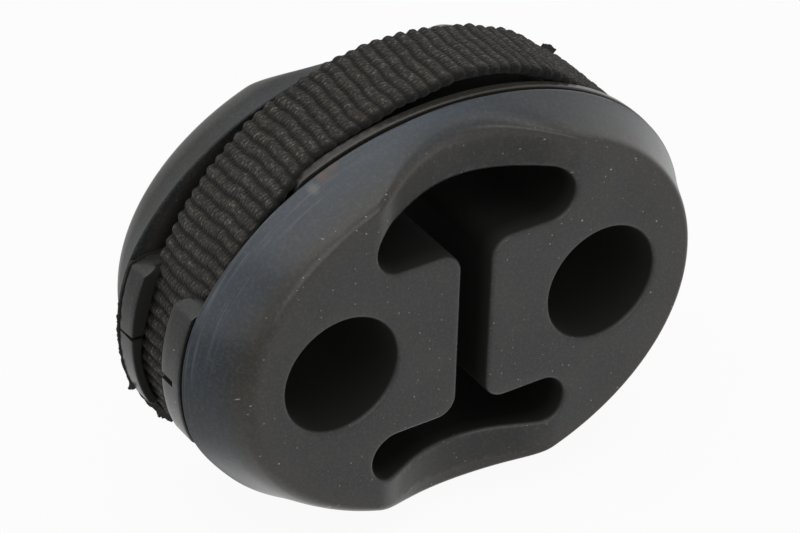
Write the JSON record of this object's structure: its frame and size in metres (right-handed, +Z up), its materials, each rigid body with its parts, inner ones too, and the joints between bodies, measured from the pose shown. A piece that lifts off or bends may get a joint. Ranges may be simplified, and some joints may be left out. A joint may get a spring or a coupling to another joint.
{
  "type": "exhaust hanger",
  "caption": "Oval moulded rubber exhaust hanger with two round bores for hanger rods, an I-shaped slot between them and a woven webbing loop in a groove round its edge.",
  "frame": {"origin": "middle of the block, halfway between the two bores and halfway between the two faces", "axes": "+X along the length from the left bore to the right bore, +Y from the front face to the rear face along the bores, +Z up along the slot"},
  "size_m": [0.056, 0.023, 0.046],
  "materials": {
    "moulded_rubber": "matt moulded black rubber with a faint bluish sheen on the sides and dust",
    "woven_webbing": "woven black polyester webbing, ribbed across its width"
  },
  "bodies": {
    "root": {"rubber_body": "moulded_rubber", "webbing_strap": "woven_webbing"}
  },
  "joints": []
}
